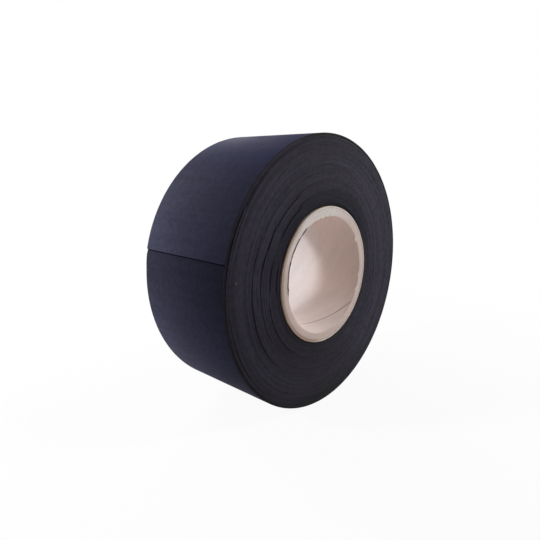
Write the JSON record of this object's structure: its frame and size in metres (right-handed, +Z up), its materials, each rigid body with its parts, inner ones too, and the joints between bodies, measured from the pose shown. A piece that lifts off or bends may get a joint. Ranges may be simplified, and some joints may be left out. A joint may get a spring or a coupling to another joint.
{
  "type": "roll of rubber membrane tape",
  "caption": "Thin rubber membrane strip wound tightly on a paper core, lying on its side with the strip's free end on the outside.",
  "frame": {"origin": "on the roll's axis, inside the core's bore, midway across the strip's last lap", "axes": "+Z up as the roll lies, the roll's axis along Y, the front end (where the core stands out) facing -Y, +X to the right as seen from the front"},
  "size_m": [0.1756, 0.0715, 0.176],
  "materials": {
    "rubber": "matt blue-black sheet with a fine grain, its cut edges dull black",
    "core_board": "raw wound core board, grey-beige, fuzzy on its cut rims"
  },
  "bodies": {
    "root": {"rubber_tape": "rubber", "paper_core": "core_board"}
  },
  "joints": []
}
